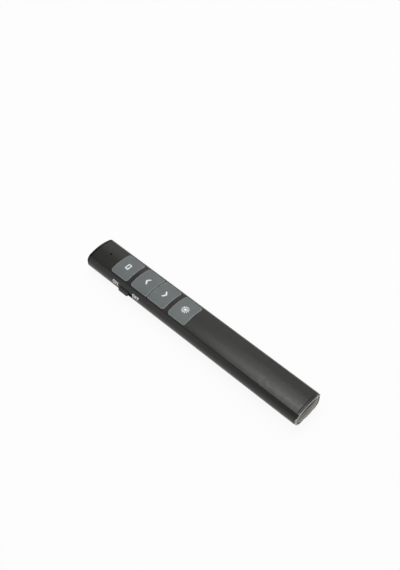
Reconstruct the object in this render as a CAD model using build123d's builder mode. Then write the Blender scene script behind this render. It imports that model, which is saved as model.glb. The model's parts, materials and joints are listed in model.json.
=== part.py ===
"""Wireless presentation clicker: a slim bar with four keys, a side switch and a USB receiver in its tail.

Millimetres. +X runs from the laser end to the tail, the slide switch is on the -Y flank, +Z is up, and the
origin lies on the resting strip of the underside, at the middle of the overall length.
"""

import os
from math import sqrt

from build123d import *

os.makedirs("parts", exist_ok=True)

# ---------------------------------------------------------------- driving dimensions
# Housing
body_width = 20.4
crown_radius = 22.3  # arch of the top
crease_inset = 2.3  # flank to crease
crease_round = 1.2
seam_height = 7.4  # where the shells meet, at the widest point of the section
wall = 1.3
front_wall = 1.6
parting_chamfer = 0.3  # edge of the shells at both ends
tail_round = 1.9  # corners and underside of the bar at its tail
rib_thick = 1.2
seam_gap = 0.15  # shadow line between the shells
seam_gap_depth = 0.4
tongue_height = 0.8
tongue_thick = 0.55
fit = 0.15  # clearance of loose moulded fits
snug = 0.05  # clearance of close fits inside one body

# Nose
nose_thick = 1.3
nose_round = 0.5
nose_corner = 1.0  # corners and underside of the bar at its nose
peg_radius = 0.9
peg_spacing = 12.6
peg_length = 1.4

# Keys
first_key_start = 15.8  # front face to the first key
key_length = 12.7
key_margin = 0.4  # side of a key to the crease
key_web = 2.6  # bar of the housing between keys
key_corner = 1.6
key_inner_corner = 0.8
key_proud = 0.25
key_depth = 2.1
key_roof = 1.25
key_side_wall = 1.2
key_edge_round = 0.35
key_travel = 0.4
lip_length = 0.75
lip_thick = 0.7
lip_half_width = 6.5
crossbar_width = 1.2
crossbar_thick = 0.7
notch_length = 0.9  # of the window's notch at each end of the gap between the pair of keys
notch_reach = 0.4
key_plate = 0.8  # thickness of a key where it passes over the crossbar
plunger_radius = 1.6

# Key symbols, white inlays flush with the keys
symbol_depth = 0.3
symbol_stroke = 0.6
symbol_shifts = (0.25, 0, 0.6, 0.2)  # middle of each key to its symbol
blank_length = 2.4
blank_width = 3.7
blank_corner = 0.4
chevron_length = 2.3
chevron_width = 3.8
chevron_stroke = 1.0  # along the bar
sun_radius = 0.75
ray_count = 12
ray_length = 1.2
ray_width = 0.36
ray_middle = 1.65

# Circuit board and what it carries
board_thick = 1.0
board_margin = 0.8  # inner face of the flank to the board
board_front_gap = 1.9  # front face of the housing wall to the board
switch_size = 5.2
switch_height = 1.4
terminal_size = (0.8, 0.7, 0.2)
stem_radius = 1.0
stem_length = 1.1
stem_rise = 0.7  # top of a switch to the top of its stem
stem_gap = 0.1
light_x = 8.4  # front face to the status light
light_hole_radius = 0.6
light_flange_radius = 1.1
light_flange_thick = 0.8
light_recess = 0.6  # end of the light pipe below the crown
led_size = (1.6, 0.8, 0.6)
chip_size = (5.0, 5.0, 0.9)
crystal_size = (3.2, 2.5, 0.8)
inductor_radius = 2.0
inductor_height = 2.2
post_radius = 1.3
pin_radius = 0.6
post_inset = 2.0  # edge of the board to a post's axis
board_corner = 0.8

# Slide switch
knob_x = 28.8  # front face to the knob's middle at ON
knob_length = 7.2
knob_height = 2.3
knob_proud = 1.4
knob_drop = 0.8  # underside of the board to the knob's middle
knob_ribs = 4
groove_radius = 0.32
slide_travel = 2.5
slot_depth = 3.0  # of the cut that makes the knob's slot
knob_corner = 1.1
knob_round = 0.3
knob_flange_gap = 0.35  # inner face of the wall to the knob's flange
flange_notch = 0.8  # depth of the board's notch beside the flange
knob_flange_thick = 0.55
knob_flange_height = 2.9
slide_body = (8.6, 4.2, 3.4)
lever_size = (1.5, 1.6, 1.2)

# Laser
laser_gap = 0.4  # underside of the board to the barrel
barrel_radius = 3.0
barrel_bore = 2.3
barrel_length = 10.5
barrel_chamfer = 0.3
window_radius = 2.2
window_thick = 0.8
aperture_radius = 1.7
lens_thick = 1.4
lens_curve = 3.2
lens_setback = 0.8
diode_radius = 1.6
diode_length = 2.4
diode_flange = 0.5
diode_inset = 2.4  # back of the diode inside the barrel's end
laser_board_size = (8.0, 4.0, 0.8)
lead_radius = 0.35
lead_pitch = 2.4
lead_inset = 1.0

# Battery bay
cell_radius = 5.15
cell_length = 44.3
cell_nub_length = 0.9
cell_nub_radius = 1.9
cell_bevel = 0.4
spring_length = 3.5
spring_wire = 0.3
spring_wire_sides = 6
spring_turns = 3.0
spring_wide = 3.6
contact_thick = 0.4
bay_start = 77.4  # front face to the battery side of the front bulkhead
strap_margin = 0.8  # inner face of the flank to a strap
strap_thick = 0.3
strap_height = 0.7
strap_landing = 1.5  # length of a strap that lies on the board
strap_root = 0.5  # overlap of a strap with its contact plate
door_half_width = 6.4
door_past_screw = 2.6  # from each housing screw to the door's end
door_gap = 0.15
hinge_tab_root = 1.6
hinge_tab_reach = 1.2  # past the door's end
hinge_tab_width = 2.4
hinge_tab_thick = 0.8
hinge_tab_spacing = 5.9
hinge_tab_clear = 0.6  # floor of the shell to the tabs
catch_width = 6.0
catch_height = 1.9
catch_thick = 1.0
thumb_grooves = 5
thumb_pitch = 1.4
thumb_margin = 2.4
thumb_length = 8.0
thumb_depth = 0.4
screw_radius = 0.85
screw_head_radius = 1.6
screw_head_thick = 1.1
screw_length = 6.0
recess_width = 0.4  # cross recess of a screw's head
recess_reach = 0.95
recess_depth = 0.6
screw_boss_radius = 2.1
boss_back = 2.5  # screw axis behind the battery side of a bulkhead
screw_pad_low = 3.6
screw_pad_high = 5.2

# Tail
ring_band = 1.4
ring_inset = 0.12
ring_margin = 2.0  # from the housing's outline to the receiver's hole
ring_spigot = 2.4
ring_round = 0.45
seat_margin = 1.1  # from the housing's outline to the seat of the cap's head
seat_depth = 1.2
cap_rise = 1.1
cap_gap = 0.2
head_gap = 0.4  # shadow gap round the cap's head
nail_slot = 1.0  # height of the slot over the head that takes a thumbnail
cap_depth = 4.4
dome_flat_radius = 25.0
dome_tall_radius = 12.5
usb_width = 12.0
usb_height = 4.5
usb_metal = 0.3
usb_length = 12.2
usb_corner = 0.5
usb_tongue_thick = 1.9
usb_tongue_inset = 0.6  # mouth of the plug to its tongue
usb_gap = 0.2
latch_window = (2.5, 2.0)
latch_window_inset = 6.2  # mouth of the plug to the middle of its latch windows
contact_count = 4
contact_pitch = 2.25
contact_width = 1.0
contact_length = 7.5
contact_inset = 1.6  # mouth of the plug to the contacts
contact_rise = 0.15

# ---------------------------------------------------------------- derived places
# The height closes round the cell, and the length holds the keys, the cell and the receiver in a row
body_height = 2 * (wall + fit + cell_radius)
bay_length = contact_thick + fit + cell_length + spring_length + contact_thick
receiver_gap = boss_back + screw_boss_radius + fit  # battery bay to the wall that stops the receiver
receiver_length = receiver_gap + rib_thick + usb_length + cap_depth
housing_length = bay_start + bay_length + receiver_length - ring_band
half_width = body_width / 2
crease = half_width - crease_inset
crown_centre = body_height - crown_radius
overall_length = nose_thick + housing_length + ring_band + cap_rise
nose_x = -overall_length / 2
front_x = nose_x + nose_thick
tail_x = front_x + housing_length
ring_end_x = tail_x + ring_band
lower_radius = seam_height
strip_half = half_width - lower_radius


def arch(radius, y):
    """Height of an arc of the crown's centre at the distance y from the middle."""
    return crown_centre + sqrt(radius**2 - y**2)


def floor_at(y):
    """Height of the underside's outer surface at the distance y from the middle."""
    return lower_radius - sqrt(lower_radius**2 - max(0, y - strip_half) ** 2)


crease_height = arch(crown_radius, crease)
inner_crown = crown_radius - wall

key_width = 2 * (crease - key_margin)
key_names = ["black_screen", "previous", "next", "laser"]
key_starts = [front_x + first_key_start]
for web in (key_web, 0, key_web):
    key_starts.append(key_starts[-1] + key_length + web)
key_centres = [start + key_length / 2 for start in key_starts]
pair_x = key_starts[2]  # the gap between the previous and next keys

board_top = body_height - key_depth - stem_rise - switch_height
board_bottom = board_top - board_thick
board_width = body_width - 2 * (wall + board_margin)
board_start = front_x + board_front_gap
switch_x = front_x + knob_x
light_place = front_x + light_x
flange_half = knob_length / 2 + slide_travel + 2 * fit
body_front = -board_width / 2 + flange_notch  # face of the slide switch's body

knob_height_centre = board_bottom - knob_drop
laser_height = board_bottom - laser_gap - barrel_radius

bay_front = front_x + bay_start
cell_start = bay_front + contact_thick + fit
cell_end = cell_start + cell_length
spring_plate = cell_end + spring_length
bay_rear = bay_front + bay_length
cell_height = wall + fit + cell_radius
screw_places = [bay_front - boss_back, bay_rear + boss_back]
contact_half = cell_radius - 1  # half the side of a square contact plate
strap_outer = half_width - wall - strap_margin
strap_inner = strap_outer - strap_thick
door_start = screw_places[0] - door_past_screw
door_end = screw_places[1] + door_past_screw
board_end = screw_places[0] - screw_boss_radius - 2 * fit
post_y_places = (post_inset - board_width / 2, board_width / 2 - post_inset)
post_places = [(x, y) for x in (key_centres[0], key_centres[3]) for y in post_y_places]

usb_centre_height = body_height / 2
cap_start = ring_end_x - cap_depth
usb_start = cap_start - usb_length
spigot_start = tail_x - ring_spigot


def section(inset=0.0):
    """Cross-section of the housing with every side moved in by inset."""
    with BuildSketch() as outline:
        with BuildLine():
            TangentArc((half_width, seam_height), (crease, crease_height), tangent=(0, 1))
            CenterArc((strip_half, lower_radius), lower_radius, -90, 90)
            mirror(about=Plane.YZ)
            ThreePointArc((-crease, crease_height), (0, body_height), (crease, crease_height))
            Line((-strip_half, 0), (strip_half, 0))
        make_face()
        if inset:
            offset(amount=-inset, kind=Kind.INTERSECTION)
    return outline.sketch


def soft_crease(profile, radius):
    """The same section with its two creases rounded."""
    with BuildSketch() as outline:
        add(profile)
        crease_points = outline.vertices().filter_by(lambda point: point.Y > seam_height + snug)
        fillet(crease_points, radius)
    return outline.sketch


outer_section = soft_crease(section(), crease_round)
inner_section = section(wall)
seat_section = section(wall / 2)  # ribs reach into the walls that carry them
groove_section = section(seam_gap_depth)
tongue_section = section(wall - tongue_thick)
tongue_groove_section = section(wall - tongue_thick - snug)
ring_section = soft_crease(section(ring_inset), crease_round)
spigot_section = section(wall + snug)
ring_hole_section = section(ring_margin)
cap_section = section(ring_margin + cap_gap)
seat_ring_section = section(seat_margin)
head_section = section(seat_margin + head_gap)


# ---------------------------------------------------------------- shared operations
def run(profile, x_from, x_to, mode=Mode.ADD):
    """A profile of the housing's section, run along the bar."""
    with BuildSketch(Plane.YZ.offset(x_from)) as profile_sketch:
        add(profile)
    extrude(profile_sketch.sketch, amount=x_to - x_from, mode=mode)


def slice_of(profile, x_from, x_to, low, high, half=body_width, mode=Mode.ADD):
    """The stretch of a run between two heights and inside a half-width."""
    with BuildSketch(Plane.YZ.offset(x_from)) as profile_sketch:
        add(profile)
        with Locations((0, (low + high) / 2)):
            Rectangle(2 * half, high - low, mode=Mode.INTERSECT)
    extrude(profile_sketch.sketch, amount=x_to - x_from, mode=mode)


def block(x_from, x_to, y_from, y_to, low, high, mode=Mode.ADD):
    """A square-edged block between two corners."""
    with BuildSketch(Plane.XY.offset(low)) as profile_sketch:
        with Locations(((x_from + x_to) / 2, (y_from + y_to) / 2)):
            Rectangle(x_to - x_from, y_to - y_from)
    extrude(profile_sketch.sketch, amount=high - low, mode=mode)


def post(x, y, radius, low, high, mode=Mode.ADD):
    """An upright round post or hole."""
    with BuildSketch(Plane.XY.offset(low)) as profile_sketch:
        with Locations((x, y)):
            Circle(radius)
    extrude(profile_sketch.sketch, amount=high - low, mode=mode)


def rod(x_from, x_to, height, radius, mode=Mode.ADD, y=0.0):
    """A round bar or bore along X."""
    with BuildSketch(Plane.YZ.offset(x_from)) as profile_sketch:
        with Locations((y, height)):
            Circle(radius)
    extrude(profile_sketch.sketch, amount=x_to - x_from, mode=mode)


def crown_band(x_from, x_to, outer, inner, half, mode=Mode.ADD):
    """A slab between two radii of the crown's arch."""
    with BuildSketch(Plane.YZ.offset(x_from)) as profile_sketch:
        with Locations((0, crown_centre)):
            Circle(outer)
            Circle(inner, mode=Mode.SUBTRACT)
        with Locations((0, body_height)):
            Rectangle(2 * half, body_height, mode=Mode.INTERSECT)
    extrude(profile_sketch.sketch, amount=x_to - x_from, mode=mode)


def save(builder, name):
    """Label a finished piece and write its file."""
    builder.part.label = name
    export_step(builder.part, f"parts/{name}.step")


def receiver_guides(low, high, stop_low):
    """Ribs across a shell that guide the receiver's plug, and the wall that stops it."""
    slice_of(seat_section, usb_start - rib_thick, usb_start, stop_low, high)
    for rib_x in (usb_start + 2 * rib_thick, spigot_start - 2 * rib_thick):
        slice_of(seat_section, rib_x, rib_x + rib_thick, low, high)
    block(
        usb_start,
        tail_x,
        -usb_width / 2 - usb_gap,
        usb_width / 2 + usb_gap,
        usb_centre_height - usb_height / 2 - usb_gap,
        usb_centre_height + usb_height / 2 + usb_gap,
        mode=Mode.SUBTRACT,
    )


def round_end(end_x, side, radius):
    """Round the bar's corners and underside at one end; side points out of that end."""
    centre_x = end_x - side * radius
    with BuildSketch(Plane.XY.offset(-1)) as corners:
        with Locations((end_x, half_width), (end_x, -half_width)):
            Rectangle(2 * radius, 2 * radius)
        with Locations((centre_x, half_width - radius), (centre_x, radius - half_width)):
            Circle(radius, mode=Mode.SUBTRACT)
    extrude(corners.sketch, amount=body_height + 2, mode=Mode.SUBTRACT)
    with BuildSketch(Plane.XZ) as heel:
        with Locations((end_x, 0)):
            Rectangle(2 * radius, 2 * radius)
        with Locations((centre_x, radius)):
            Circle(radius, mode=Mode.SUBTRACT)
    extrude(heel.sketch, amount=body_width, both=True, mode=Mode.SUBTRACT)


def ease_ends(shell, on_outside):
    """Chamfer the outer edges of a shell's two end faces."""
    for end in (0, -1):
        end_edges = shell.faces().sort_by(Axis.X)[end].edges()
        chamfer(end_edges.filter_by(on_outside), parting_chamfer)


def switch_slot():
    """The slot of the slide switch, through the -Y wall of a shell."""
    slot_start = switch_x - knob_length / 2 - fit
    slot_end = switch_x + knob_length / 2 + slide_travel + fit
    half_slot = knob_height / 2 + fit
    block(
        slot_start,
        slot_end,
        -half_width,
        -half_width + slot_depth,
        knob_height_centre - half_slot,
        knob_height_centre + half_slot,
        mode=Mode.SUBTRACT,
    )


# ---------------------------------------------------------------- housing
with BuildPart() as nose_cap:
    run(outer_section, nose_x, front_x)
    fillet(nose_cap.faces().sort_by(Axis.X)[0].edges(), nose_round)
    # Pegs that hold it to the front wall, and the seat of the laser window
    for peg_y in (-peg_spacing / 2, peg_spacing / 2):
        rod(front_x, front_x + peg_length, laser_height, peg_radius, y=peg_y)
    rod(nose_x, front_x, laser_height, window_radius + snug, mode=Mode.SUBTRACT)
    round_end(nose_x, -1, nose_corner)
save(nose_cap, "nose_cap")

with BuildPart() as top_shell:
    slice_of(outer_section, front_x, tail_x, seam_height, body_height + 1)
    ease_ends(top_shell, lambda edge: edge.center().Z > seam_height)
    run(inner_section, front_x + front_wall, tail_x, mode=Mode.SUBTRACT)
    # Cross ribs under the webs hold the board down
    for web_x in (key_starts[0] + key_length + key_web / 2, key_starts[3] - key_web / 2):
        rib_half = (key_web - 2 * lip_length - 2 * fit) / 2 - fit
        slice_of(seat_section, web_x - rib_half, web_x + rib_half, board_top, body_height)
    slice_of(seat_section, board_start, board_start + rib_thick, board_top, body_height)
    # Bulkheads of the battery bay, open at the sides for the strap
    for rib_x in (bay_front - rib_thick, bay_rear):
        slice_of(seat_section, rib_x, rib_x + rib_thick, screw_pad_high, body_height, half=lip_half_width)
    receiver_guides(seam_height, body_height, seam_height)
    # Screw bosses reach down to the pads of the lower shell
    for boss_x in screw_places:
        post(boss_x, 0, screw_boss_radius, screw_pad_high, arch(inner_crown, screw_boss_radius) + wall / 2)
        post(boss_x, 0, screw_radius, screw_pad_high, screw_pad_high + screw_length, mode=Mode.SUBTRACT)
    # Key windows
    window_runs = [
        (key_starts[0], key_starts[0] + key_length),
        (key_starts[1], key_starts[2] + key_length),
        (key_starts[3], key_starts[3] + key_length),
    ]
    for window_start, window_end in window_runs:
        with BuildSketch(Plane.XY.offset(board_top)):
            with Locations(((window_start + window_end) / 2, 0)):
                RectangleRounded(window_end - window_start + 2 * fit, key_width + 2 * fit, key_corner + fit)
        extrude(amount=body_height, mode=Mode.SUBTRACT)
    with BuildSketch(Plane.XY.offset(board_top)):
        with Locations((pair_x, 0)):
            Rectangle(notch_length, key_width + 2 * notch_reach)
    extrude(amount=body_height, mode=Mode.SUBTRACT)
    # The bar between the pair of keys lies below their plates
    crossbar_top = crown_radius + key_proud - key_plate - key_travel - fit
    crown_band(
        pair_x - crossbar_width / 2,
        pair_x + crossbar_width / 2,
        crossbar_top,
        crossbar_top - crossbar_thick,
        key_width / 2 + notch_reach + fit,
    )
    post(light_place, 0, light_hole_radius + snug, board_top, body_height + 1, mode=Mode.SUBTRACT)
    switch_slot()
    # Groove for the lower shell's tongue, and the shadow line outside
    with BuildSketch(Plane.YZ.offset(front_x + front_wall)):
        add(tongue_groove_section)
        add(inner_section, mode=Mode.SUBTRACT)
        with Locations((0, seam_height + (tongue_height + snug) / 2)):
            Rectangle(body_width, tongue_height + snug, mode=Mode.INTERSECT)
    extrude(amount=housing_length, mode=Mode.SUBTRACT)
    with BuildSketch(Plane.YZ.offset(front_x)):
        add(outer_section)
        add(groove_section, mode=Mode.SUBTRACT)
        with Locations((0, seam_height + seam_gap / 2)):
            Rectangle(body_width, seam_gap, mode=Mode.INTERSECT)
    extrude(amount=housing_length, mode=Mode.SUBTRACT)
    round_end(ring_end_x, 1, tail_round)
save(top_shell, "top_shell")

with BuildPart() as bottom_shell:
    slice_of(outer_section, front_x, tail_x, -1, seam_height)
    ease_ends(bottom_shell, lambda edge: edge.center().Z < seam_height - snug)
    run(inner_section, front_x + front_wall, tail_x, mode=Mode.SUBTRACT)
    # Tongue along the seam
    with BuildSketch(Plane.YZ.offset(front_x + front_wall)):
        add(tongue_section)
        add(inner_section, mode=Mode.SUBTRACT)
        with Locations((0, seam_height)):
            Rectangle(body_width, 2 * tongue_height, mode=Mode.INTERSECT)
    extrude(amount=housing_length - front_wall)
    # Saddles of the laser barrel
    barrel_start = front_x + front_wall + snug
    for saddle_x in (barrel_start + rib_thick, barrel_start + barrel_length - 2 * rib_thick):
        slice_of(seat_section, saddle_x, saddle_x + rib_thick, 0, laser_height)
    barrel_end = barrel_start + barrel_length
    rod(front_x + front_wall, barrel_end + snug, laser_height, barrel_radius + snug, mode=Mode.SUBTRACT)
    # Posts and pins that seat and locate the board
    for post_x, post_y in post_places:
        post(post_x, post_y, post_radius, floor_at(abs(post_y) + post_radius) + wall / 2, board_bottom)
        post(post_x, post_y, pin_radius, board_bottom, board_top)
    # Bulkheads of the battery bay and the pads of the housing screws
    for rib_x in (bay_front - rib_thick, bay_rear):
        slice_of(seat_section, rib_x, rib_x + rib_thick, screw_pad_low, screw_pad_high)
    for pad_x in screw_places:
        slice_of(
            seat_section,
            pad_x - boss_back,
            pad_x + boss_back,
            screw_pad_low,
            screw_pad_high,
        )
        post(pad_x, 0, screw_radius + fit, screw_pad_low - 1, seam_height, mode=Mode.SUBTRACT)
    receiver_guides(0, seam_height, screw_pad_low)
    # Battery door's opening
    block(
        door_start - door_gap,
        door_end + door_gap,
        -door_half_width - door_gap,
        door_half_width + door_gap,
        -1,
        screw_pad_low,
        mode=Mode.SUBTRACT,
    )
    # Laser aperture between the holes of the nose's pegs
    rod(front_x, front_x + front_wall, laser_height, aperture_radius, mode=Mode.SUBTRACT)
    for peg_y in (-peg_spacing / 2, peg_spacing / 2):
        rod(front_x, front_x + front_wall, laser_height, peg_radius + snug, y=peg_y, mode=Mode.SUBTRACT)
    switch_slot()
    round_end(ring_end_x, 1, tail_round)
save(bottom_shell, "bottom_shell")

with BuildPart() as battery_door:
    slice_of(outer_section, door_start, door_end, -1, wall * 3, half=door_half_width)
    run(inner_section, door_start - 1, door_end + 1, mode=Mode.SUBTRACT)
    # The door turns on its round tail edge
    tail_edges = battery_door.faces().sort_by(Axis.X)[-1].edges()
    fillet(tail_edges.filter_by(lambda edge: (edge @ 0.5).Z < floor_at(abs((edge @ 0.5).Y)) + snug), wall / 2)
    # Hinge tabs reach over the floor of the lower shell
    tab_low = wall + hinge_tab_clear
    for side in (-1, 1):
        tab_y = side * hinge_tab_spacing / 2
        block(
            door_end - hinge_tab_root,
            door_end,
            tab_y - hinge_tab_width / 2,
            tab_y + hinge_tab_width / 2,
            wall,
            tab_low + hinge_tab_thick,
        )
        block(
            door_end,
            door_end + hinge_tab_reach,
            tab_y - hinge_tab_width / 2,
            tab_y + hinge_tab_width / 2,
            tab_low,
            tab_low + hinge_tab_thick,
        )
    # Catch at the free end, and thumb grooves outside it
    catch_end = door_start + catch_thick
    block(door_start, catch_end, -catch_width / 2, catch_width / 2, wall / 2, wall + catch_height)
    for index in range(thumb_grooves):
        groove_x = door_start + thumb_margin + index * thumb_pitch
        block(
            groove_x,
            groove_x + thumb_pitch / 2,
            -thumb_length / 2,
            thumb_length / 2,
            -1,
            thumb_depth,
            mode=Mode.SUBTRACT,
        )
save(battery_door, "battery_door")

with BuildPart() as tail_ring:
    run(ring_section, tail_x, ring_end_x)
    fillet(tail_ring.faces().sort_by(Axis.X)[-1].edges(), ring_round)
    run(spigot_section, spigot_start, tail_x)
    run(ring_hole_section, spigot_start, ring_end_x, mode=Mode.SUBTRACT)
    run(seat_ring_section, ring_end_x - seat_depth, ring_end_x, mode=Mode.SUBTRACT)
    round_end(ring_end_x, 1, tail_round)
save(tail_ring, "tail_ring")

with BuildPart() as housing_screws:
    for screw_x in screw_places:
        post(screw_x, 0, screw_head_radius, screw_pad_low - screw_head_thick, screw_pad_low)
        post(screw_x, 0, screw_radius - snug, screw_pad_low, screw_pad_low + screw_length)
        # Cross recess in the head
        head_low = screw_pad_low - screw_head_thick
        for along, across in ((recess_reach, recess_width / 2), (recess_width / 2, recess_reach)):
            block(
                screw_x - along,
                screw_x + along,
                -across,
                across,
                head_low,
                head_low + recess_depth,
                mode=Mode.SUBTRACT,
            )
save(housing_screws, "housing_screws")

# ---------------------------------------------------------------- keys and their switches
crown_out = crown_radius + key_proud
lip_outer = inner_crown - 2 * snug
underside = crown_radius - key_depth
stem_top = crown_centre + underside
crossbar_low = crossbar_top - crossbar_thick


def symbol_outline(name):
    """The outline of a key's symbol: a blank screen, an arrow or the sun of the laser."""
    with BuildSketch() as outline:
        if name == "black_screen":
            RectangleRounded(blank_length, blank_width, blank_corner)
            Rectangle(blank_length - 2 * symbol_stroke, blank_width - 2 * symbol_stroke, mode=Mode.SUBTRACT)
        elif name == "laser":
            Circle(sun_radius)
            with PolarLocations(ray_middle, ray_count):
                Rectangle(ray_length, ray_width)
        else:
            side = 1 if name == "next" else -1
            tip = side * chevron_length / 2
            inner_tip = tip - side * chevron_stroke
            with BuildLine():
                Polyline(
                    (tip, 0),
                    (side * chevron_stroke - tip, chevron_width / 2),
                    (-tip, chevron_width / 2),
                    (inner_tip, 0),
                )
                mirror(about=Plane.XZ)
            make_face()
    return outline.sketch


def make_key(name, key_x, under_crossbar, inlay):
    """A key with its lips, hollow and plunger; under_crossbar is -1, 0 or +1, the end at the crossbar."""
    start = key_x - key_length / 2
    end = key_x + key_length / 2
    plate_start = start + (fit if under_crossbar < 0 else 0)
    plate_end = end - (fit if under_crossbar > 0 else 0)
    with BuildPart() as key:
        crown_band(plate_start, plate_end, crown_out, underside, key_width / 2)
        corners = key.edges().filter_by(Axis.Z).group_by(Axis.X)
        fillet(corners[0], key_inner_corner if under_crossbar < 0 else key_corner)
        corners = key.edges().filter_by(Axis.Z).group_by(Axis.X)
        fillet(corners[-1], key_inner_corner if under_crossbar > 0 else key_corner)
        fillet(key.faces().sort_by(Axis.Z)[-1].edges(), key_edge_round)
        add(inlay, mode=Mode.SUBTRACT)
        # Hollow underside with a plunger over the switch
        crown_band(
            start + key_side_wall + lip_length,
            end - key_side_wall - lip_length,
            crown_out - key_roof,
            underside - 1,
            key_width / 2 - key_side_wall,
            mode=Mode.SUBTRACT,
        )
        post(key_x, 0, plunger_radius, stem_top, body_height - key_roof / 2)
        # A lip under the housing at each end, lower where the crossbar passes
        for side, at in ((-1, start), (1, end)):
            if side == under_crossbar:
                clear = crossbar_width / 2 + fit
                crown_band(
                    min(at, at - side * clear),
                    max(at, at - side * clear),
                    crown_out - key_plate,
                    underside - 1,
                    key_width / 2,
                    mode=Mode.SUBTRACT,
                )
                low_lip = crossbar_low - 2 * snug
                inner_at = at - side * (clear + key_side_wall)
                outer_at = at - side * fit
                lip_from, lip_to = sorted((inner_at, outer_at))
                crown_band(lip_from, lip_to, low_lip, low_lip - lip_thick, lip_half_width)
            else:
                tip = at + side * lip_length
                root = at - side * key_side_wall
                lip_from, lip_to = sorted((tip, root))
                crown_band(lip_from, lip_to, lip_outer, lip_outer - lip_thick, lip_half_width)
    save(key, f"{name}_key")


for name, key_x, under_crossbar, shift in zip(key_names, key_centres, (0, 1, -1, 0), symbol_shifts):
    with BuildPart() as symbol:
        half = key_length / 2
        crown_band(key_x - half, key_x + half, crown_out, crown_out - symbol_depth, key_width / 2)
        with BuildSketch(Plane.XY.offset(board_top)) as outline:
            with Locations((key_x + shift, 0)):
                add(symbol_outline(name))
        extrude(outline.sketch, amount=body_height, mode=Mode.INTERSECT)
    save(symbol, f"{name}_symbol")
    make_key(name, key_x, under_crossbar, symbol.part)
    with BuildPart() as stem:
        post(key_x, 0, stem_radius, stem_top - stem_length, stem_top)
    save(stem, f"{name}_stem")

with BuildPart() as tactile_switches:
    for key_x in key_centres:
        half = switch_size / 2
        block(key_x - half, key_x + half, -half, half, board_top, board_top + switch_height)
        # Terminals on both sides
        for side in (-1, 1):
            for terminal_y in (-half / 2, half / 2):
                tip = key_x + side * (half + terminal_size[0])
                block(
                    min(key_x, tip),
                    max(key_x, tip),
                    terminal_y - terminal_size[1] / 2,
                    terminal_y + terminal_size[1] / 2,
                    board_top,
                    board_top + terminal_size[2],
                )
        well_low = stem_top - stem_length - key_travel - fit
        post(key_x, 0, stem_radius + stem_gap, well_low, body_height, mode=Mode.SUBTRACT)
save(tactile_switches, "tactile_switches")

# ---------------------------------------------------------------- circuit board
with BuildPart() as circuit_board:
    block(board_start, board_end, -board_width / 2, board_width / 2, board_bottom, board_top)
    fillet(circuit_board.edges().filter_by(Axis.Z), board_corner)
    for post_x, post_y in post_places:
        post(post_x, post_y, pin_radius + snug, board_bottom, board_top, mode=Mode.SUBTRACT)
    # Notch that clears the knob's flange
    block(
        switch_x - flange_half - fit,
        switch_x + flange_half + slide_travel + fit,
        -board_width / 2,
        body_front,
        board_bottom,
        board_top,
        mode=Mode.SUBTRACT,
    )
save(circuit_board, "circuit_board")


def under_board(name, x, y, size):
    """A square part soldered to the board's underside."""
    with BuildPart() as item:
        block(
            x - size[0] / 2,
            x + size[0] / 2,
            y - size[1] / 2,
            y + size[1] / 2,
            board_bottom - size[2],
            board_bottom,
        )
    save(item, name)


chip_x = (key_centres[1] + key_centres[2]) / 2
under_board("radio_chip", chip_x, 0, chip_size)
under_board("crystal", chip_x, chip_size[1], crystal_size)

with BuildPart() as boost_inductor:
    post(key_centres[2], 0, inductor_radius, board_bottom - inductor_height, board_bottom)
save(boost_inductor, "boost_inductor")

with BuildPart() as status_led:
    block(
        light_place - led_size[0] / 2,
        light_place + led_size[0] / 2,
        -led_size[1] / 2,
        led_size[1] / 2,
        board_top,
        board_top + led_size[2],
    )
save(status_led, "status_led")

with BuildPart() as light_pipe:
    flange_top = body_height - wall - 2 * snug
    post(light_place, 0, light_hole_radius, board_top + led_size[2] + fit, body_height - light_recess)
    post(light_place, 0, light_flange_radius, flange_top - light_flange_thick, flange_top)
save(light_pipe, "light_pipe")

# ---------------------------------------------------------------- slide switch
with BuildPart() as slide_switch_body:
    middle = switch_x + slide_travel / 2
    block(
        middle - slide_body[0] / 2,
        middle + slide_body[0] / 2,
        body_front,
        body_front + slide_body[1],
        board_bottom - slide_body[2],
        board_bottom,
    )
    lever_half = lever_size[0] / 2 + stem_gap
    block(
        switch_x - lever_half,
        switch_x + slide_travel + lever_half,
        body_front,
        body_front + lever_size[1],
        knob_height_centre - lever_size[2] / 2 - stem_gap,
        knob_height_centre + lever_size[2] / 2,
        mode=Mode.SUBTRACT,
    )
save(slide_switch_body, "slide_switch_body")

with BuildPart() as switch_lever:
    block(
        switch_x - lever_size[0] / 2,
        switch_x + lever_size[0] / 2,
        body_front - lever_size[1],
        body_front + lever_size[1] - fit,
        knob_height_centre - lever_size[2] / 2,
        knob_height_centre + lever_size[2] / 2 - stem_gap,
    )
save(switch_lever, "switch_lever")

with BuildPart() as switch_knob:
    flange_front = -half_width + wall + knob_flange_gap
    knob_face = -half_width - knob_proud
    block(
        switch_x - knob_length / 2,
        switch_x + knob_length / 2,
        knob_face,
        flange_front,
        knob_height_centre - knob_height / 2,
        knob_height_centre + knob_height / 2,
    )
    fillet(switch_knob.edges().filter_by(Axis.Z).group_by(Axis.Y)[0], knob_corner)
    rims = switch_knob.edges().filter_by(Axis.Z, reverse=True)
    fillet(rims.filter_by(lambda edge: edge.center().Y < -half_width - snug), knob_round)
    # Grip ridges stand between grooves
    groove_pitch = knob_length / (knob_ribs + 1)
    for index in range(knob_ribs):
        groove_x = switch_x + (index - (knob_ribs - 1) / 2) * groove_pitch
        groove_low = knob_height_centre - knob_height
        post(groove_x, knob_face - snug, groove_radius, groove_low, body_height, mode=Mode.SUBTRACT)
    # Flange behind the wall, with the pocket that grips the lever
    block(
        switch_x - flange_half,
        switch_x + flange_half,
        flange_front,
        flange_front + knob_flange_thick,
        knob_height_centre - knob_flange_height / 2,
        min(knob_height_centre + knob_flange_height / 2, board_bottom + board_thick),
    )
    block(
        switch_x - lever_size[0] / 2 - snug,
        switch_x + lever_size[0] / 2 + snug,
        body_front - lever_size[1] - snug,
        0,
        knob_height_centre - lever_size[2] / 2 - snug,
        knob_height_centre + lever_size[2] / 2,
        mode=Mode.SUBTRACT,
    )
save(switch_knob, "switch_knob")

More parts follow.
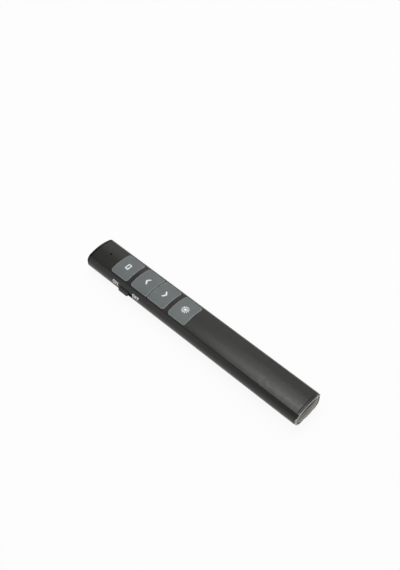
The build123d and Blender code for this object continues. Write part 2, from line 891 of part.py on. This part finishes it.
# ---------------------------------------------------------------- laser
with BuildPart() as laser_window:
    rod(front_x - window_thick, front_x, laser_height, window_radius)
save(laser_window, "laser_window")

with BuildPart() as laser_barrel:
    rod(barrel_start, barrel_end, laser_height, barrel_radius)
    rod(barrel_start, barrel_end, laser_height, barrel_bore, mode=Mode.SUBTRACT)
    chamfer(laser_barrel.faces().sort_by(Axis.X)[0].edges().sort_by(SortBy.RADIUS)[-1], barrel_chamfer)
save(laser_barrel, "laser_barrel")

with BuildPart() as laser_lens:
    lens_start = barrel_start + lens_setback
    rod(lens_start, lens_start + lens_thick, laser_height, barrel_bore - snug)
    with Locations((lens_start + lens_curve, 0, laser_height)):
        Sphere(lens_curve, mode=Mode.INTERSECT)
save(laser_lens, "laser_lens")

with BuildPart() as laser_diode:
    diode_end = barrel_end - diode_inset
    rod(diode_end - diode_length, diode_end, laser_height, diode_radius)
    rod(diode_end - diode_flange, diode_end, laser_height, barrel_bore - snug)
save(laser_diode, "laser_diode")

with BuildPart() as laser_board:
    laser_board_end = diode_end + laser_board_size[0]
    block(
        diode_end,
        laser_board_end,
        -laser_board_size[1] / 2,
        laser_board_size[1] / 2,
        laser_height - laser_board_size[2] / 2,
        laser_height + laser_board_size[2] / 2,
    )
save(laser_board, "laser_board")

with BuildPart() as laser_leads:
    for lead_y in (-lead_pitch / 2, lead_pitch / 2):
        lead_x = laser_board_end - lead_inset
        post(lead_x, lead_y, lead_radius, laser_height + laser_board_size[2] / 2, board_bottom)
save(laser_leads, "laser_leads")

# ---------------------------------------------------------------- battery bay
with BuildPart() as battery_cell:
    rod(cell_start, cell_start + cell_nub_length, cell_height, cell_nub_radius)
    rod(cell_start + cell_nub_length, cell_end, cell_height, cell_radius)
    chamfer(battery_cell.edges().filter_by(GeomType.CIRCLE).group_by(SortBy.RADIUS)[-1], cell_bevel)
save(battery_cell, "battery_cell")


def contact_strap(plate_x, side):
    """The flat strip that ties a contact plate to the board, along one flank of the bay."""
    inner_y = side * strap_inner
    outer_y = side * strap_outer
    root_y = side * (contact_half - strap_root)
    high = board_top + strap_height
    block(plate_x, plate_x + contact_thick, min(root_y, outer_y), max(root_y, outer_y), board_top, high)
    block(board_end - strap_landing, plate_x, min(inner_y, outer_y), max(inner_y, outer_y), board_top, high)


with BuildPart() as positive_contact:
    block(
        bay_front,
        bay_front + contact_thick,
        -contact_half,
        contact_half,
        cell_height - contact_half,
        cell_height + contact_half,
    )
    contact_strap(bay_front, 1)
save(positive_contact, "positive_contact")

with BuildPart() as negative_spring:
    block(
        spring_plate,
        spring_plate + contact_thick,
        -contact_half,
        contact_half,
        cell_height - contact_half,
        cell_height + contact_half,
    )
    coil_length = spring_length - 2 * spring_wire
    with BuildLine():
        coil = Helix(
            pitch=coil_length / spring_turns,
            height=coil_length,
            radius=spring_wide,
            center=(spring_plate, 0, cell_height),
            direction=(-1, 0, 0),
        )
    with BuildSketch(Plane(origin=coil @ 0, z_dir=coil % 0)):
        RegularPolygon(spring_wire, spring_wire_sides)
    sweep()
save(negative_spring, "negative_spring")

with BuildPart() as negative_strap:
    contact_strap(spring_plate, -1)
    block(
        spring_plate,
        spring_plate + contact_thick,
        -contact_half,
        contact_half,
        cell_height - contact_half,
        cell_height + contact_half,
        mode=Mode.SUBTRACT,
    )
save(negative_strap, "negative_strap")

# ---------------------------------------------------------------- USB receiver
dome_x = ring_end_x + cap_rise
with BuildPart() as receiver_cap:
    run(cap_section, cap_start, dome_x)
    run(head_section, ring_end_x - seat_depth + fit, dome_x)
    slot_outer = crown_radius - seat_margin
    crown_band(cap_start, dome_x, slot_outer, slot_outer - nail_slot, half_width, mode=Mode.SUBTRACT)
    # The end is a dome, flatter across the bar than up it
    with BuildSketch(Plane.XZ):
        with Locations((dome_x - dome_tall_radius, body_height / 2)):
            Circle(dome_tall_radius)
    revolve(axis=Axis((dome_x - dome_flat_radius, 0, 0), (0, 0, 1)), mode=Mode.INTERSECT)
save(receiver_cap, "receiver_cap")

usb_low = usb_centre_height - usb_height / 2
with BuildPart() as receiver_plug:
    with BuildSketch(Plane.YZ.offset(usb_start)):
        with Locations((0, usb_centre_height)):
            RectangleRounded(usb_width, usb_height, usb_corner)
            offset(amount=-usb_metal, mode=Mode.SUBTRACT)
    extrude(amount=usb_length)
    # Two latch windows in the top and in the bottom
    for side in (-1, 1):
        window_x = usb_start + latch_window_inset
        window_y = side * usb_width / 4
        block(
            window_x - latch_window[0] / 2,
            window_x + latch_window[0] / 2,
            window_y - latch_window[1] / 2,
            window_y + latch_window[1] / 2,
            usb_low - 1,
            usb_low + usb_height + 1,
            mode=Mode.SUBTRACT,
        )
save(receiver_plug, "receiver_plug")

tongue_low = usb_low + usb_metal + snug
with BuildPart() as receiver_tongue:
    block(
        usb_start + usb_tongue_inset,
        cap_start,
        -usb_width / 2 + usb_metal + fit,
        usb_width / 2 - usb_metal - fit,
        tongue_low,
        tongue_low + usb_tongue_thick,
    )
save(receiver_tongue, "receiver_tongue")

with BuildPart() as receiver_contacts:
    for index in range(contact_count):
        contact_y = (index - (contact_count - 1) / 2) * contact_pitch
        block(
            usb_start + contact_inset,
            usb_start + contact_inset + contact_length,
            contact_y - contact_width / 2,
            contact_y + contact_width / 2,
            tongue_low + usb_tongue_thick,
            tongue_low + usb_tongue_thick + contact_rise,
        )
save(receiver_contacts, "receiver_contacts")
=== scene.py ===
"""The looks of the wireless presentation clicker: materials, printed marks, stage, light and camera."""

import json
from math import ceil, cos, pi, radians, sin

import bmesh
import bpy
from mathutils import Matrix, Vector
from mathutils.bvhtree import BVHTree
from mathutils.geometry import tessellate_polygon


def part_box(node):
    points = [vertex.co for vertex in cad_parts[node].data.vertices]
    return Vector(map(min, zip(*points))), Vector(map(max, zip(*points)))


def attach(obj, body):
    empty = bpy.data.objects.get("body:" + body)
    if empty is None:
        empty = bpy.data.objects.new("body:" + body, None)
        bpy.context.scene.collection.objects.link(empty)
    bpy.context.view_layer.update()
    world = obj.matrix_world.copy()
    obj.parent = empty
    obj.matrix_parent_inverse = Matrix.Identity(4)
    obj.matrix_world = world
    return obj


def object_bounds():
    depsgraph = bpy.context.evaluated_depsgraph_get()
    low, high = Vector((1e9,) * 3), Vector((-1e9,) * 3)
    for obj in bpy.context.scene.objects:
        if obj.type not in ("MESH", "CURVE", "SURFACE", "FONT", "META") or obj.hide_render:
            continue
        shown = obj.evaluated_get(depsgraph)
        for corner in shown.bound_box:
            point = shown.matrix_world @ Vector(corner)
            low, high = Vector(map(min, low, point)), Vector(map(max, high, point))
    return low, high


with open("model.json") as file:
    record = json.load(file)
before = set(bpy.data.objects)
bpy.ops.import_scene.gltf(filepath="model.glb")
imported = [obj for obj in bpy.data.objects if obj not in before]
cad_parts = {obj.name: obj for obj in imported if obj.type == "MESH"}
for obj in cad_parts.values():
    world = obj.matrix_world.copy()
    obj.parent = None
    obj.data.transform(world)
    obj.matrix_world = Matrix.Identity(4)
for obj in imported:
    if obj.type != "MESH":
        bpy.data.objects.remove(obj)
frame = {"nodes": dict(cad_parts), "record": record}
cad_low, cad_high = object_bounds()

MM = 0.001

# ---------------------------------------------------------------- camera, fitted to the object's edges
AZIMUTH = radians(43.083)
ELEVATION = radians(51.088)
CAMERA_PLACE = Vector((169.94, -179.64, 347.76)) * MM
FOCAL_PIXELS = 795.77
FRAME_HEIGHT_PIXELS = 570
SENSOR = 36.0
NEAREST, FARTHEST = 0.01, 20.0  # metres that the camera sees

# ---------------------------------------------------------------- stage, in metres and watts
LAMPS = (  # name, place, width and height, power; each faces the middle of the bar
    ("top_box", (-0.055, 0.0, 0.59), (0.23, 0.23), 1.23),
    ("back_box", (-0.06, 0.24, 0.54), (0.25, 0.25), 0.48),
    ("low_back_box", (-0.24, 0.42, 0.31), (0.6, 0.3), 0.47),
    ("side_box", (-0.28, -0.48, 0.18), (0.25, 0.25), 0.24),
)
WORLD_STRENGTH = 0.33
FLOOR_REACH = 3.0
FLOOR_WHITE = (0.9, 0.9, 0.9, 1)  # how the floor sends light back to the part
FLOOR_GLOW = 0.92  # share of plain white in how the floor looks

# ---------------------------------------------------------------- sizes of the printed marks, in mm
PRINT_THICK = 0.02
PRINT_SINK = 0.015  # how far a mark's back lies inside its carrier
PRINT_STEP = 0.4  # longest piece of a mark that stays flat on a curved carrier
PRINT_REACH = 5.0  # how far off the flank a mark starts before it is laid on
LETTER_HEIGHT = 2.15
LETTER_WIDTHS = {"O": 1.8, "N": 2.0, "F": 1.25}
LETTER_STROKE = 0.48
LETTER_GAP = 0.3
LETTER_FOOT = 7.6  # height of the letters' feet over the table
O_OUTER_CORNER = 0.6
O_INNER_CORNER = 0.25
N_SLANT = 1.25  # height of the slanted stroke's foot, in strokes
F_ARM_RISE = 0.44  # height of the middle arm's foot, as a share of the letter's height
F_ARM_LENGTH = 0.9  # length of the middle arm, as a share of the letter's width
WORDS = (("ON", -6.9), ("OFF", 8.85))  # with the way from the knob's middle to the word's middle

# ---------------------------------------------------------------- surface marks, sizes and depths in mm
GRAIN = 0.16  # spark-eroded grain of the mouldings
GRAIN_DEPTH = 0.006
CLOUD = 7.0  # faint clouds in a moulding's colour
SMUDGE = 2.2  # marks of handling
SMUDGE_DEPTH = 0.004
LEAST_WEAR_AND_HIGHLIGHT = 0.35  # edge tint (wear, and the keys' painted rim highlight) where smudges are faintest, as a share of the most
BRUSH = 0.5  # width of the lines on drawn and stamped metal
BRUSH_DEPTH = 0.003
SPOT = 1.4  # dull spots on metal
FLOW = 1.1  # flow marks in clear mouldings
FLOW_DEPTH = 0.002
FLOW_SHADE = 0.92
WEAVE = 0.35  # glass weave under the solder mask
WEAVE_DEPTH = 0.004
TRACE_SCALE = 120.0  # copper traces: scale and distortion of Blender's wave texture
TRACE_WANDER = 6.0
TRACE_DEPTH = 0.02
CELL_COPPER = 11.0  # from the cell's positive end to the end of its copper band
CELL_NUB = 1.45  # bare steel at the positive end
CELL_FOOT = 0.35  # bare steel at the negative end
CELL_CLOUD = 3.0
CELL_CLOUD_DEPTH = 0.01
BAND_BLUR = 0.05  # width of the step between two bands of the cell


# ---------------------------------------------------------------- node materials
def linear(value):
    """A screen value from 0 to 255 as the linear number that shows it."""
    share = value / 255
    return share / 12.92 if share <= 0.04045 else ((share + 0.055) / 1.055) ** 2.4


def tone(red, green, blue):
    """A screen colour as a linear colour with full alpha."""
    return (linear(red), linear(green), linear(blue), 1.0)


class Shader:
    """A material made of one surface shader and the procedural nodes that feed it."""

    def __init__(self, name, **sockets):
        self.material = bpy.data.materials.new(name)
        self.material.use_nodes = True
        self.tree = self.material.node_tree
        self.tree.nodes.clear()
        self.surface = self.add("ShaderNodeBsdfPrincipled")
        self.output = self.add("ShaderNodeOutputMaterial")
        self.link(self.surface.outputs["BSDF"], self.output.inputs["Surface"])
        for socket, value in sockets.items():
            self.surface.inputs[socket.replace("_", " ")].default_value = value
        coordinates = self.add("ShaderNodeTexCoord")
        self.place = coordinates.outputs["Object"]
        self.outward = coordinates.outputs["Normal"]

    def add(self, kind, **settings):
        """A new node with some of its settings."""
        node = self.tree.nodes.new(kind)
        for key, value in settings.items():
            setattr(node, key, value)
        return node

    def link(self, source, target):
        self.tree.links.new(source, target)

    def feed(self, inputs, values):
        """Links or sets a node's first inputs from sockets or plain values."""
        for socket, value in zip(inputs, values):
            if isinstance(value, (tuple, float)):
                socket.default_value = value
            else:
                self.link(value, socket)

    def noise(self, size_mm, detail=2.0, roughness=0.5, stretch=(1, 1, 1)):
        """Noise whose features are about size_mm across, as a value from 0 to 1."""
        mapping = self.add("ShaderNodeMapping")
        mapping.inputs["Scale"].default_value = stretch
        self.link(self.place, mapping.inputs["Vector"])
        texture = self.add("ShaderNodeTexNoise")
        texture.inputs["Scale"].default_value = 1 / (size_mm * MM)
        texture.inputs["Detail"].default_value = detail
        texture.inputs["Roughness"].default_value = roughness
        self.link(mapping.outputs["Vector"], texture.inputs["Vector"])
        return texture.outputs["Fac"]

    def remap(self, value, low, high, from_low=0.3, from_high=0.7):
        """A value moved from one range to another, and held inside it."""
        node = self.add("ShaderNodeMapRange")
        node.inputs["From Min"].default_value = from_low
        node.inputs["From Max"].default_value = from_high
        node.inputs["To Min"].default_value = low
        node.inputs["To Max"].default_value = high
        self.link(value, node.inputs["Value"])
        return node.outputs["Result"]

    def blend(self, share, first, second):
        """A colour between two colours or colour sockets, by a value from 0 to 1."""
        node = self.add("ShaderNodeMix", data_type="RGBA")
        self.link(share, node.inputs["Factor"])
        self.feed(node.inputs[6:8], (first, second))
        return node.outputs[2]

    def number(self, operation, first, second):
        """A calculation on two sockets or plain numbers."""
        node = self.add("ShaderNodeMath", operation=operation)
        self.feed(node.inputs, (first, second))
        return node.outputs["Value"]

    def vector(self, operation, *values):
        """A calculation on sockets or plain vectors."""
        node = self.add("ShaderNodeVectorMath", operation=operation)
        self.feed(node.inputs, values)
        return node.outputs["Value" if operation == "DOT_PRODUCT" else "Vector"]

    def edges(self, radius_mm, sharpness):
        """1 on edges, where handling wears them and where the keys get a painted rim highlight, and 0 on
        flat ground.
        """
        bevel = self.add("ShaderNodeBevel", samples=4)
        bevel.inputs["Radius"].default_value = radius_mm * MM
        geometry = self.add("ShaderNodeNewGeometry")
        dot = self.vector("DOT_PRODUCT", bevel.outputs["Normal"], geometry.outputs["Normal"])
        return self.remap(dot, 1.0, 0.0, from_low=1 - sharpness, from_high=1.0)

    def bump(self, *layers):
        """Bump of (value, depth in mm) layers, one over the other."""
        normal = None
        for value, depth_mm in layers:
            node = self.add("ShaderNodeBump")
            node.inputs["Strength"].default_value = 1.0
            node.inputs["Distance"].default_value = depth_mm * MM
            self.link(value, node.inputs["Height"])
            if normal is not None:
                self.link(normal, node.inputs["Normal"])
            normal = node.outputs["Normal"]
        self.link(normal, self.surface.inputs["Normal"])

    def colour(self, socket):
        self.link(socket, self.surface.inputs["Base Color"])

    def rough(self, socket):
        self.link(socket, self.surface.inputs["Roughness"])


def painted_shade_top_faces(shader):
    """1 on the faces that look up at rest; the receiver paints them near black, a painted shade of its
    slot.
    """
    rise = shader.vector("DOT_PRODUCT", shader.outward, (0, 0, 1))
    return shader.remap(rise, 0.0, 1.0, from_low=0.75, from_high=0.85)


def painted_light_ring_faces(shader):
    """1 on the end and inner faces of the tail ring, 0 on its outer face; these faces get a painted light
    grey: a painted reflection on the end face and painted light in the shade of the gaps.
    """
    low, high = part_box("tail_ring")
    from_axis = shader.vector("SUBTRACT", shader.place, (0, 0, (low.z + high.z) / 2))
    away = shader.vector("NORMALIZE", shader.vector("MULTIPLY", from_axis, (0, 1, 1)))
    facing_away = shader.vector("DOT_PRODUCT", shader.outward, away)
    return shader.remap(facing_away, 1.0, 0.0, from_low=0.6, from_high=0.85)


def moulded(
    name, dark, light, rough,
    grain=GRAIN, grain_depth=GRAIN_DEPTH, edge_wear_and_highlight=None, edge=(0.35, 0.25), second=None, **sockets,
):
    """Moulded plastic: spark-eroded grain, faint cloudiness, and lighter edges: wear from handling, and on
    the keys a painted rim highlight.

    rough is the roughness on clean and smudged ground, edge_wear_and_highlight the colour of the
    lighter edges (worn edges, and the keys' painted rim highlight), edge their reach in mm and
    their sharpness, and second a (mask, colour) pair that paints light or shade onto some faces.
    """
    shader = Shader(name, **sockets)
    fine = shader.noise(grain, detail=1.0)
    cloud = shader.noise(CLOUD, detail=3.0, stretch=(0.5, 1, 1))
    smudge = shader.noise(SMUDGE, detail=4.0, roughness=0.65)
    body = shader.blend(shader.remap(cloud, 0.0, 1.0), dark, light)
    if edge_wear_and_highlight is not None:
        edge_wear_and_highlight_share = shader.number("MULTIPLY", shader.edges(*edge), shader.remap(smudge, LEAST_WEAR_AND_HIGHLIGHT, 1.0))
        body = shader.blend(edge_wear_and_highlight_share, body, edge_wear_and_highlight)
    if second is not None:
        mask, tint = second
        body = shader.blend(mask(shader), body, tint)
    shader.colour(body)
    shader.rough(shader.remap(smudge, *rough))
    shader.bump((smudge, SMUDGE_DEPTH), (fine, grain_depth))
    return shader.material


def metal(name, tint, shade, rough, brush=(12, 1, 1)):
    """Drawn or stamped metal with dull spots and with lines that are longer along brush's axes."""
    shader = Shader(name, Metallic=1.0)
    lines = shader.noise(BRUSH, detail=4.0, roughness=0.7, stretch=tuple(1 / times for times in brush))
    spots = shader.noise(SPOT, detail=4.0, roughness=0.6)
    shader.colour(shader.blend(shader.remap(spots, 0.0, 1.0), tint, shade))
    shader.rough(shader.remap(lines, *rough))
    shader.bump((lines, BRUSH_DEPTH))
    return shader.material


def clear(name, tint, rough=0.06):
    """Clear or smoked moulding with faint flow marks."""
    shader = Shader(name, Transmission_Weight=1.0, IOR=1.49)
    flow = shader.noise(FLOW, detail=2.0)
    shade = tuple(FLOW_SHADE * part for part in tint[:3]) + (1.0,)
    shader.colour(shader.blend(shader.remap(flow, 0.0, 1.0), tint, shade))
    shader.rough(shader.remap(flow, rough, 2 * rough))
    shader.bump((flow, FLOW_DEPTH))
    return shader.material


def make_board():
    """Green solder mask with copper traces that show through it."""
    shader = Shader("board_green", IOR=1.5, Coat_Weight=0.6)
    weave = shader.noise(WEAVE, detail=2.0)
    turned = shader.add("ShaderNodeMapping")
    turned.inputs["Rotation"].default_value = (0, 0, radians(45))
    shader.link(shader.place, turned.inputs["Vector"])
    wave = shader.add("ShaderNodeTexWave", wave_type="BANDS", bands_direction="Y")
    wave.inputs["Scale"].default_value = TRACE_SCALE
    wave.inputs["Distortion"].default_value = TRACE_WANDER
    shader.link(turned.outputs["Vector"], wave.inputs["Vector"])
    trace = shader.remap(wave.outputs["Fac"], 0.0, 1.0, from_low=0.62, from_high=0.7)
    shader.colour(shader.blend(trace, tone(14, 78, 38), tone(30, 104, 52)))
    shader.rough(shader.remap(weave, 0.28, 0.4))
    shader.bump((weave, WEAVE_DEPTH), (trace, TRACE_DEPTH))
    return shader.material


def make_cell():
    """The cell's printed sleeve, with a copper band at the positive end and bare steel at both ends."""
    low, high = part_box("battery_cell")
    shader = Shader("cell_sleeve", IOR=1.5)
    split = shader.add("ShaderNodeSeparateXYZ")
    shader.link(shader.place, split.inputs["Vector"])

    def step(before, after, x):
        """A value that changes from before to after at x."""
        return shader.remap(split.outputs["X"], before, after, from_low=x, from_high=x + BAND_BLUR * MM)

    nub_end = low.x + CELL_NUB * MM
    foot_start = high.x - CELL_FOOT * MM
    steel = tone(196, 194, 186)
    cloud = shader.noise(CELL_CLOUD, detail=3.0)
    sleeve = shader.blend(shader.remap(cloud, 0.0, 1.0), tone(28, 84, 56), tone(34, 96, 64))
    banded = shader.blend(step(0.0, 1.0, low.x + CELL_COPPER * MM), tone(176, 118, 62), sleeve)
    with_nub = shader.blend(step(0.0, 1.0, nub_end), steel, banded)
    shader.colour(shader.blend(step(0.0, 1.0, foot_start), with_nub, steel))
    bare = shader.number("MAXIMUM", step(1.0, 0.0, nub_end), step(0.0, 1.0, foot_start))
    shader.link(bare, shader.surface.inputs["Metallic"])
    shader.rough(shader.remap(cloud, 0.26, 0.38))
    shader.bump((cloud, CELL_CLOUD_DEPTH))
    return shader.material


SATIN = {"IOR": 1.5, "Specular_IOR_Level": 0.4}
EVEN_BRUSH = (1, 1, 1)

# By material slot. Mouldings and metals give two tones, then their least and greatest roughness.
materials = {
    "shell": moulded(
        "shell_black", tone(28, 28, 26), tone(33, 33, 30), (0.3, 0.4),
        edge_wear_and_highlight=tone(52, 52, 50), **SATIN,
    ),
    "nose": moulded(
        "nose_black", tone(8, 8, 8), tone(11, 11, 11), (0.16, 0.26),
        grain_depth=0.001, **SATIN,
    ),
    "symbol": moulded(
        "symbol_white", tone(240, 241, 240), tone(250, 250, 249), (0.4, 0.5),
        grain_depth=0.003, IOR=1.5,
    ),
    # The ring's end and inner faces are painted light grey: a painted reflection of bright surroundings on
    # the end face, and painted light in the gaps' shade.
    "ring": moulded(
        "ring_black", tone(33, 33, 32), tone(38, 38, 36), (0.36, 0.46),
        edge_wear_and_highlight=tone(70, 70, 66), second=(painted_light_ring_faces, tone(206, 203, 194)), **SATIN,
    ),
    "knob": moulded(
        "knob_black", tone(42, 42, 40), tone(48, 48, 45), (0.42, 0.52),
        edge_wear_and_highlight=tone(66, 66, 63), **SATIN,
    ),
    # The keys' edge tint is a painted rim highlight, spread 0.9 mm over their rounded rims.
    "key": moulded(
        "key_grey", tone(101, 107, 108), tone(107, 113, 114), (0.42, 0.52),
        grain=0.12, edge_wear_and_highlight=tone(162, 164, 160), edge=(0.9, 0.04), **SATIN,
    ),
    "stem": moulded("stem_black", tone(20, 20, 20), tone(26, 26, 26), (0.4, 0.5), **SATIN),
    # The receiver's top faces, the floor of its slot, are painted near black: painted shade under the
    # ring's lip.
    "receiver": moulded(
        "receiver_grey", tone(124, 121, 114), tone(130, 127, 119), (0.34, 0.44),
        edge_wear_and_highlight=tone(150, 147, 139), second=(painted_shade_top_faces, tone(4, 4, 4)), **SATIN,
    ),
    "tongue": moulded("tongue_white", tone(214, 212, 204), tone(226, 224, 216), (0.35, 0.45), IOR=1.5),
    "chip": moulded("chip_epoxy", tone(26, 27, 28), tone(34, 35, 36), (0.5, 0.6), **SATIN),
    "ferrite": moulded(
        "ferrite_grey", tone(42, 42, 44), tone(54, 54, 56), (0.55, 0.7),
        grain_depth=0.02, IOR=1.5,
    ),
    "led": moulded(
        "led_epoxy", tone(226, 220, 180), tone(236, 230, 196), (0.15, 0.25),
        grain_depth=0.002, IOR=1.5,
    ),
    "plug_steel": metal("plug_steel", tone(206, 205, 200), tone(186, 185, 180), (0.2, 0.32)),
    "screw_steel": metal("screw_steel", tone(92, 92, 94), tone(70, 70, 72), (0.3, 0.42), EVEN_BRUSH),
    "switch_metal": metal("switch_metal", tone(206, 205, 200), tone(180, 179, 174), (0.25, 0.4)),
    "can": metal("nickel_can", tone(210, 210, 208), tone(188, 188, 186), (0.22, 0.34), EVEN_BRUSH),
    "tinned": metal("tinned_steel", tone(208, 207, 202), tone(182, 181, 176), (0.24, 0.38)),
    "gold": metal("gold_plate", tone(236, 196, 112), tone(222, 178, 92), (0.18, 0.28)),
    "barrel": metal("turned_brass", tone(206, 170, 96), tone(186, 148, 78), (0.24, 0.36), brush=(1, 8, 8)),
    "window": clear("window_red", tone(196, 60, 54)),
    "light_pipe": clear("light_pipe_smoked", tone(30, 30, 31)),
    "lens": clear("lens_clear", tone(238, 240, 242), rough=0.02),
    "board": make_board(),
    "cell": make_cell(),
}

for row in frame["record"]["subparts"]:
    node = frame["nodes"][row["node"]]
    node.data.materials.clear()
    node.data.materials.append(materials[row["material_slot"]])


# ---------------------------------------------------------------- printed marks
def rounded_box(length, width, corner, steps=5):
    """Corner-rounded rectangle round the origin, as a list of points."""
    points = []
    for turn in range(4):
        along = (length / 2 - corner) * (1 if turn in (0, 3) else -1)
        across = (width / 2 - corner) * (1 if turn in (0, 1) else -1)
        for step in range(steps + 1):
            angle = (turn + step / steps) * pi / 2
            points.append((along + corner * cos(angle), across + corner * sin(angle)))
    return points


def letter(character):
    """Outlines of a letter whose foot is on the line y = 0 and whose left side is at x = 0."""
    width, height, stroke = LETTER_WIDTHS[character], LETTER_HEIGHT, LETTER_STROKE
    if character == "O":
        outer = rounded_box(width, height, O_OUTER_CORNER)
        inner = rounded_box(width - 2 * stroke, height - 2 * stroke, O_INNER_CORNER)
        return [[(x + width / 2, y + height / 2) for x, y in loop] for loop in (outer, inner)]
    if character == "N":
        slant = stroke * N_SLANT
        right = width - stroke
        feet = [(0, 0), (stroke, 0), (stroke, height - slant), (right, 0), (width, 0)]
        heads = [(width, height), (right, height), (right, slant), (stroke, height), (0, height)]
        return [feet + heads]
    arm_foot = height * F_ARM_RISE
    arm_head = arm_foot + stroke
    arm_end = width * F_ARM_LENGTH
    shoulder = height - stroke
    stem_and_arm = [(0, 0), (stroke, 0), (stroke, arm_foot), (arm_end, arm_foot), (arm_end, arm_head)]
    top = [(stroke, arm_head), (stroke, shoulder), (width, shoulder), (width, height), (0, height)]
    return [stem_and_arm + top]


def flat_mark(loops):
    """The area between outlines as flat faces, cut fine enough to follow a curved carrier."""
    bm = bmesh.new()
    flat = [[Vector((x, y, 0)) for x, y in loop] for loop in loops]
    points = [bm.verts.new(point) for loop in flat for point in loop]
    for corners in tessellate_polygon(flat):
        bm.faces.new([points[index] for index in corners])
    for axis in (0, 1):
        values = [point[axis] for loop in loops for point in loop]
        first, last = min(values), max(values)
        count = ceil((last - first) / PRINT_STEP)
        for index in range(1, count):
            cut = Vector((0, 0, 0))
            cut[axis] = first + (last - first) * index / count
            normal = Vector((axis == 0, axis == 1, 0))
            everything = bm.faces[:] + bm.edges[:] + bm.verts[:]
            bmesh.ops.bisect_plane(bm, geom=everything, plane_co=cut, plane_no=normal)
    bmesh.ops.recalc_face_normals(bm, faces=bm.faces)
    if sum(face.normal.z for face in bm.faces) < 0:
        bmesh.ops.reverse_faces(bm, faces=bm.faces)
    return bm


def on_carrier(tree, start, direction, back_off):
    """The point where a ray meets the carrier, moved back towards the ray's start."""
    hit, _, _, _ = tree.ray_cast(start, direction)
    if hit is None:
        raise RuntimeError("a printed mark misses its carrier")
    return hit - direction * back_off


def print_mark(name, loops, carrier, origin, body):
    """A thin raised mark: outlines in mm, laid on the carrier's own surface as seen from its flank."""
    bm = flat_mark(loops)
    raised = bmesh.ops.extrude_face_region(bm, geom=bm.faces[:])
    top = {item for item in raised["geom"] if isinstance(item, bmesh.types.BMVert)}
    tree = BVHTree.FromObject(carrier, bpy.context.evaluated_depsgraph_get())
    inward = Vector((0, 1, 0))
    for vert in bm.verts:
        start = origin + Vector((vert.co.x, -PRINT_REACH, vert.co.y)) * MM
        lift = PRINT_THICK if vert in top else -PRINT_SINK
        vert.co = on_carrier(tree, start, inward, lift * MM)
    bmesh.ops.recalc_face_normals(bm, faces=bm.faces)
    mesh = bpy.data.meshes.new(name)
    bm.to_mesh(mesh)
    bm.free()
    mark = bpy.data.objects.new(name, mesh)
    bpy.context.scene.collection.objects.link(mark)
    mesh.materials.append(materials["symbol"])
    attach(mark, body)
    return mark


def print_word(word, from_knob):
    """A word on the flank, letter by letter, with its middle at a way in mm from the knob's middle."""
    knob_low, knob_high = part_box("switch_knob")
    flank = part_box("top_shell")[0].y / MM
    middle = (knob_low.x + knob_high.x) / 2 / MM + from_knob
    left = middle - (sum(LETTER_WIDTHS[character] + LETTER_GAP for character in word) - LETTER_GAP) / 2
    for index, character in enumerate(word):
        origin = Vector((left, flank, LETTER_FOOT)) * MM
        name = f"switch_word_{word.lower()}_{index + 1}"
        mark = print_mark(name, letter(character), frame["nodes"]["top_shell"], origin, "root")
        left += LETTER_WIDTHS[character] + LETTER_GAP


for word_row in WORDS:
    print_word(*word_row)


# ---------------------------------------------------------------- stage
def make_lamp(name, place, size, power):
    """A soft box that faces the middle of the bar."""
    data = bpy.data.lights.new(name, "AREA")
    data.shape = "RECTANGLE"
    data.size, data.size_y = size
    data.energy = power
    lamp = bpy.data.objects.new(name, data)
    lamp.location = place
    lamp.rotation_euler = (-Vector(place)).to_track_quat("-Z", "Y").to_euler()
    bpy.context.scene.collection.objects.link(lamp)


def make_floor():
    """A pale floor that reaches past every view and looks nearly white."""
    bm = bmesh.new()
    bmesh.ops.create_grid(bm, x_segments=1, y_segments=1, size=FLOOR_REACH)
    mesh = bpy.data.meshes.new("floor")
    bm.to_mesh(mesh)
    bm.free()
    floor = bpy.data.objects.new("floor", mesh)
    bpy.context.scene.collection.objects.link(floor)
    shader = Shader("floor_white", Roughness=0.9, Specular_IOR_Level=0.0)
    shader.surface.inputs["Base Color"].default_value = FLOOR_WHITE
    glow = shader.add("ShaderNodeEmission")
    rays = shader.add("ShaderNodeLightPath").outputs
    seen_or_mirrored = shader.number("MAXIMUM", rays["Is Camera Ray"], rays["Is Glossy Ray"])
    looked_at = shader.number("MAXIMUM", seen_or_mirrored, rays["Is Transmission Ray"])
    mix = shader.add("ShaderNodeMixShader")
    shader.link(shader.number("MULTIPLY", looked_at, FLOOR_GLOW), mix.inputs["Fac"])
    shader.link(shader.surface.outputs["BSDF"], mix.inputs[1])
    shader.link(glow.outputs["Emission"], mix.inputs[2])
    shader.link(mix.outputs["Shader"], shader.output.inputs["Surface"])
    mesh.materials.append(shader.material)
    floor.location.z = cad_low.z


def make_world():
    """Even white light from all round."""
    world = bpy.data.worlds.new("studio")
    bpy.context.scene.world = world
    world.use_nodes = True
    sky = world.node_tree.nodes["Background"]
    sky.inputs["Color"].default_value = (1, 1, 1, 1)
    sky.inputs["Strength"].default_value = WORLD_STRENGTH


def make_camera():
    """The camera of the photograph, fitted to the object's edges."""
    data = bpy.data.cameras.new("camera")
    data.sensor_width = SENSOR
    data.lens = FOCAL_PIXELS * SENSOR / FRAME_HEIGHT_PIXELS
    data.clip_start, data.clip_end = NEAREST, FARTHEST
    camera = bpy.data.objects.new("camera", data)
    back = Vector((sin(AZIMUTH) * cos(ELEVATION), -cos(AZIMUTH) * cos(ELEVATION), sin(ELEVATION)))
    right = Vector((cos(AZIMUTH), sin(AZIMUTH), 0))
    turn = Matrix((right, back.cross(right), back)).transposed().to_4x4()
    camera.matrix_world = Matrix.Translation(CAMERA_PLACE) @ turn
    bpy.context.scene.collection.objects.link(camera)
    bpy.context.scene.camera = camera


make_floor()
make_world()
for lamp_row in LAMPS:
    make_lamp(*lamp_row)
make_camera()
bpy.context.scene.view_settings.view_transform = "Standard"
